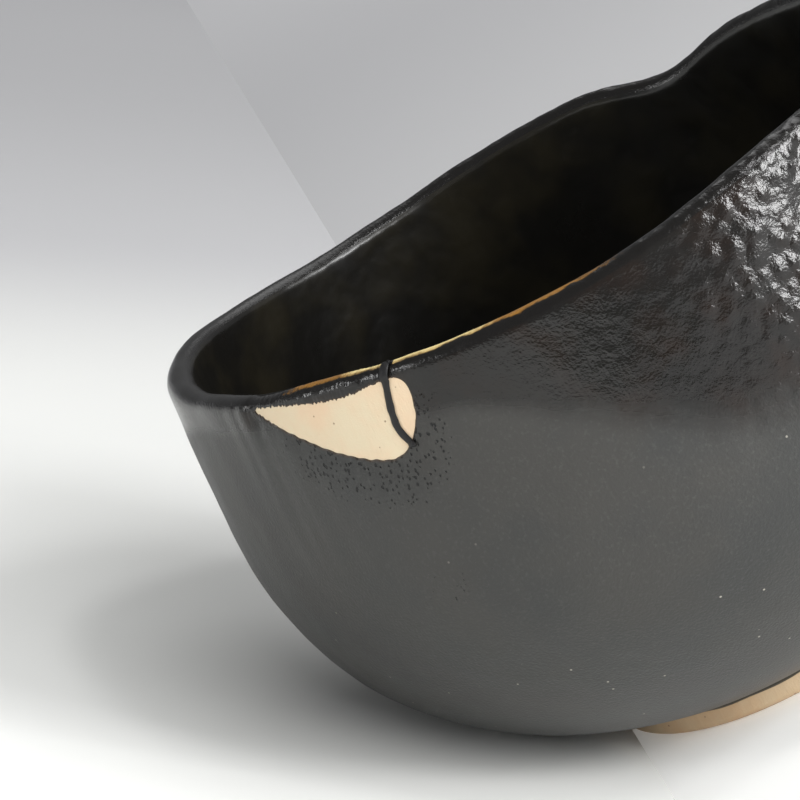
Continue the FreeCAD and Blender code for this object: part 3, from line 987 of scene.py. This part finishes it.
class TEABOWL_OT_foot(bpy.types.Operator):
    """Trim the bare foot ring and paint the dark band in its flare"""
    bl_idname = "tea_bowl.foot"
    bl_label = "Foot"

    def execute(self, context):
        s = sizes()
        waist = s.foot_height - s.flare
        bore = [(s.foot_bore + out * MM, low) for out, low in
                ((-0.7, s.foot_height + 0.1 * MM), (-0.6, 4.6 * MM), (-0.3, 2.4 * MM),
                 (-0.05, 0.7 * MM), (0.1, 0.25 * MM), (0.5, 0.0), (2.1, 0.0))]
        middle = s.foot_radius - TREAD_ROUND
        corner = [(s.foot_radius - TREAD_ROUND, 0.0)]
        corner += [(middle + TREAD_ROUND * math.sin(math.radians(a)),
                    TREAD_ROUND - TREAD_ROUND * math.cos(math.radians(a)))
                   for a in (22.5, 45.0, 67.5, 90.0)]
        outside = [(s.foot_radius, waist * 0.7), (s.foot_radius, waist)]
        turned = bore + corner + outside + flare_arc(0.0, range(15, 91, 15))
        piece = raise_rings("foot_ring_clay", turned, FOOT_AROUND)
        apply_modifier(piece, "SUBSURF", levels=2, render_levels=2)
        face_outwards(piece)
        height = places(piece.data)[:, 2]
        roughen(piece, "trimmed_foot", "CLOUDS", 5.0 * MM, 0.16 * MM,
                group_from(piece, "above_tread", smooth((height - 0.15 * MM) / (0.8 * MM))))
        finish_piece(piece, ["foot_ring"],
                     make_clay("foot_clay", "foot_pale", "foot_toast"))
        band = raise_rings("foot_band", flare_arc(BAND_LIFT, range(-9, 91, 9)), FOOT_AROUND)
        apply_modifier(band, "SUBSURF", levels=1, render_levels=1)
        face_outwards(band)
        rows = places(band.data)
        radius, height, angle = cylindrical(rows)
        lowest = smooth((height - waist) / (0.7 * MM))
        rows[:, 2] += waves(BAND_WANDER, angle) * (1.0 - smooth((height - waist) / (2.0 * MM)))
        rows[:, :2] *= (1.0 - (1.0 - lowest) * 0.42 * MM / radius)[:, None]
        set_places(band.data, rows)
        highest = smooth((height - s.foot_height + 0.9 * MM) / (0.6 * MM))
        store(band, "band_edge", 1.0 - lowest + highest)
        finish_piece(band, ["foot_glaze"], make_foot_band())
        return {"FINISHED"}


# ---------------------------------------------------------------- stage
CAMERA_PLACE = Vector((331.6, 288.2, 163.0)) * MM
CAMERA_TARGET = Vector((21.7, -21.7, 60.5)) * MM
CAMERA_ROLL = 29.35
CAMERA_LENS = 138.8
CAMERA_SENSOR = 36.0
# Painted light: the level floor glows of its own, though it is no lamp, to lift the bowl's shadow
# on it.
PAINTED_FLOOR_GLOW = 0.14              # the level floor's own light
TIP_ANGLE = 34.5               # how far the bowl leans over on its belly and its foot's edge
TIP_SIDE = Vector((1.0, -1.0, 0.0)).normalized()
AHEAD = Vector((-1.0, -1.0, 0.0)).normalized()


def stage_up():
    """Square to the slope that the tipped bowl rests on."""
    lean = math.radians(TIP_ANGLE)
    return Vector((0.0, 0.0, math.cos(lean))) - TIP_SIDE * math.sin(lean)


def make_floor_finish(name, near, glow, one_sided):
    """A pale matt floor with painted shade: it turns grey with distance behind or, on the level,
    all round, for light falling off away from the bowl.
    """
    n = Nodes(name)
    x, y = (n.add("ShaderNodeSeparateXYZ", {}, {"Vector": n.place}, k) for k in range(2))
    distance = x * AHEAD.x + y * AHEAD.y
    if one_sided:
        # Painted shade: the slope greys with distance behind the bowl.
        colour = n.mix(distance.step(0.20, 0.46), near, shade("floor_middle"))
        colour = n.mix(distance.step(0.35, 1.9), colour, shade("floor_far"))
    else:
        spread = n.add("ShaderNodeVectorMath", {"operation": "LENGTH"}, (n.place,), "Value")
        # Painted shade: the level floor greys with distance all round and behind the bowl.
        colour = n.mix(spread.step(0.08, 0.34), near, shade("floor_edge"))
        colour = n.mix(distance.step(0.30, 0.90), colour, shade("level_far"))
    colour = n.mix(n.noise(60.0 * MM, 2.0) * 0.04, colour, shade("floor_far"))
    # Painted light: the emission makes the floor glow, though it is no lamp.
    n.set(Base_Color=colour, Roughness=0.7, Specular_IOR_Level=0.25, Emission_Color=colour,
          Emission_Strength=glow)
    if one_sided:
        clear = n.tree.nodes.new("ShaderNodeBsdfTransparent")
        sheet = n.tree.nodes.new("ShaderNodeMixShader")
        n.link(sheet.inputs[0], n.add("ShaderNodeNewGeometry", {}, {}, "Backfacing"))
        n.tree.links.new(n.shader.outputs[0], sheet.inputs[1])
        n.tree.links.new(clear.outputs[0], sheet.inputs[2])
        n.tree.links.new(sheet.outputs[0], n.tree.nodes["Material Output"].inputs["Surface"])
    return n.material


def add_softbox(name, place, target, width, tall, power, shows=True):
    """A soft rectangular light at a place, turned to a target."""
    clear_selection()
    bpy.ops.object.light_add(type="AREA", location=place)
    light = bpy.context.object
    light.name = light.data.name = name
    light.rotation_mode = "QUATERNION"
    light.rotation_quaternion = (Vector(place) - Vector(target)).to_track_quat("Z", "Y")
    light.data.shape = "RECTANGLE"
    light.data.size, light.data.size_y = width, tall
    light.data.energy = power
    light.visible_glossy = shows


def lay_floor():
    """The level floor that the bowl's foot stands on."""
    clear_selection()
    bpy.ops.mesh.primitive_plane_add(size=8.0, location=(0.0, 0.0, 0.0))
    floor = bpy.context.object
    floor.name = "floor"
    finish = make_floor_finish("pale_floor", shade("floor_near"), PAINTED_FLOOR_GLOW, False)
    floor.data.materials.append(finish)


def lay_slope():
    """The slope that the tipped bowl seems to lie on, from the foot's edge up along its belly."""
    clear_selection()
    foot_edge = TIP_SIDE * (sizes().foot_radius - 0.4 * MM)
    bpy.ops.mesh.primitive_plane_add(size=1.0)
    slope = bpy.context.object
    slope.name = "slope"
    lean = math.radians(TIP_ANGLE)
    along = TIP_SIDE * math.cos(lean) + Vector((0.0, 0.0, math.sin(lean)))
    rows = [foot_edge + along * (0.0 if x < 0 else 2.5) + AHEAD * (-1.2 if y < 0 else 3.0)
            for x, y, _ in places(slope.data)]
    set_places(slope.data, np.array([list(row) for row in rows]))
    if slope.data.polygons[0].normal.dot(stage_up()) < 0.0:
        take(slope)
        bpy.ops.object.mode_set(mode="EDIT")
        bpy.ops.mesh.select_all(action="SELECT")
        bpy.ops.mesh.flip_normals()
        bpy.ops.object.mode_set(mode="OBJECT")
    slope.visible_shadow = False
    slope.data.materials.append(make_floor_finish("pale_slope", shade("slope_near"), 0.0, True))


def light_stage(scene):
    """A dim pale surround and the soft boxes."""
    scene.world = bpy.data.worlds.new("studio")
    scene.world.use_nodes = True
    background = scene.world.node_tree.nodes["Background"]
    background.inputs["Color"].default_value = (0.97, 0.98, 1.0, 1.0)
    background.inputs["Strength"].default_value = 0.20
    up, bowl = stage_up(), Vector((0.0, 0.0, sizes().rim_height / 2.0))
    add_softbox("key_light", (0.26, 0.67, 0.33), bowl, 0.55, 0.5, 5.0, shows=False)
    add_softbox("overhead_light", up * 0.9 + AHEAD * 0.1, bowl, 0.8, 0.8, 0.6, shows=False)
    add_softbox("side_window", (-0.22, 1.15, 0.22), bowl, 0.34, 0.32, 8.5)
    add_softbox("upper_window", (-0.20, 0.80, 0.80), bowl, 0.22, 0.16, 1.9)
    add_softbox("left_window", (0.62, -0.42, 0.72), bowl, 0.24, 0.14, 1.4)
    add_softbox("back_window", (-0.45, 0.95, 0.42), bowl, 0.36, 0.22, 4.0)
    add_softbox("top_light", AHEAD * 0.42 + up * 0.80, bowl, 0.7, 0.5, 1.6)
    add_softbox("backdrop_light", AHEAD * 1.6 + up * 0.9, AHEAD * 1.8, 1.2, 0.6, 7.0,
                shows=False)


def place_camera(scene):
    """The camera, looking from its place to its target and rolled about that line."""
    back = (CAMERA_PLACE - CAMERA_TARGET).normalized()
    right = Vector((0.0, 0.0, 1.0)).cross(back).normalized()
    upright = back.cross(right)
    turn = math.radians(CAMERA_ROLL)
    rolled = right * math.cos(turn) - upright * math.sin(turn)
    raised = right * math.sin(turn) + upright * math.cos(turn)
    clear_selection()
    bpy.ops.object.camera_add()
    camera = bpy.context.object
    camera.name = "camera"
    facing = Matrix((rolled, raised, back)).transposed().to_4x4()
    camera.matrix_world = Matrix.Translation(CAMERA_PLACE) @ facing
    camera.data.lens = CAMERA_LENS
    camera.data.sensor_width = CAMERA_SENSOR
    camera.data.clip_start, camera.data.clip_end = 0.01, 30.0
    scene.camera = camera


class TEABOWL_OT_stage(bpy.types.Operator):
    """Set the pale floor, the slope under the tipped bowl, the soft lights and the camera"""
    bl_idname = "tea_bowl.stage"
    bl_label = "Stage"

    def execute(self, context):
        lay_floor()
        lay_slope()
        light_stage(context.scene)
        place_camera(context.scene)
        context.scene.view_settings.view_transform = "Standard"
        return {"FINISHED"}


class TEABOWL_PT_panel(bpy.types.Panel):
    """Lists the bowl's sizes, its colours and the steps that make it"""
    bl_idname = "TEABOWL_PT_panel"
    bl_label = "Tea bowl"
    bl_space_type = "VIEW_3D"
    bl_region_type = "UI"
    bl_category = "Tea bowl"

    def draw(self, context):
        for settings in (context.scene.tea_bowl_sizes, context.scene.tea_bowl_colours):
            for name in settings.__annotations__:
                self.layout.prop(settings, name)
        for operator in OPERATORS:
            self.layout.operator(operator.bl_idname)


OPERATORS = (TEABOWL_OT_clay, TEABOWL_OT_glaze, TEABOWL_OT_line, TEABOWL_OT_foot, TEABOWL_OT_stage)
CLASSES = (BowlSizes, BowlColours) + OPERATORS + (TEABOWL_PT_panel,)


def register():
    for item in CLASSES:
        bpy.utils.register_class(item)
    bpy.types.Scene.tea_bowl_sizes = bpy.props.PointerProperty(type=BowlSizes)
    bpy.types.Scene.tea_bowl_colours = bpy.props.PointerProperty(type=BowlColours)


def unregister():
    del bpy.types.Scene.tea_bowl_colours
    del bpy.types.Scene.tea_bowl_sizes
    for item in reversed(CLASSES):
        bpy.utils.unregister_class(item)


def main():
    register()
    bpy.ops.tea_bowl.stage()
    bpy.ops.tea_bowl.clay()
    bpy.ops.tea_bowl.glaze()
    bpy.ops.tea_bowl.line()
    bpy.ops.tea_bowl.foot()


if __name__ == "__main__":
    main()
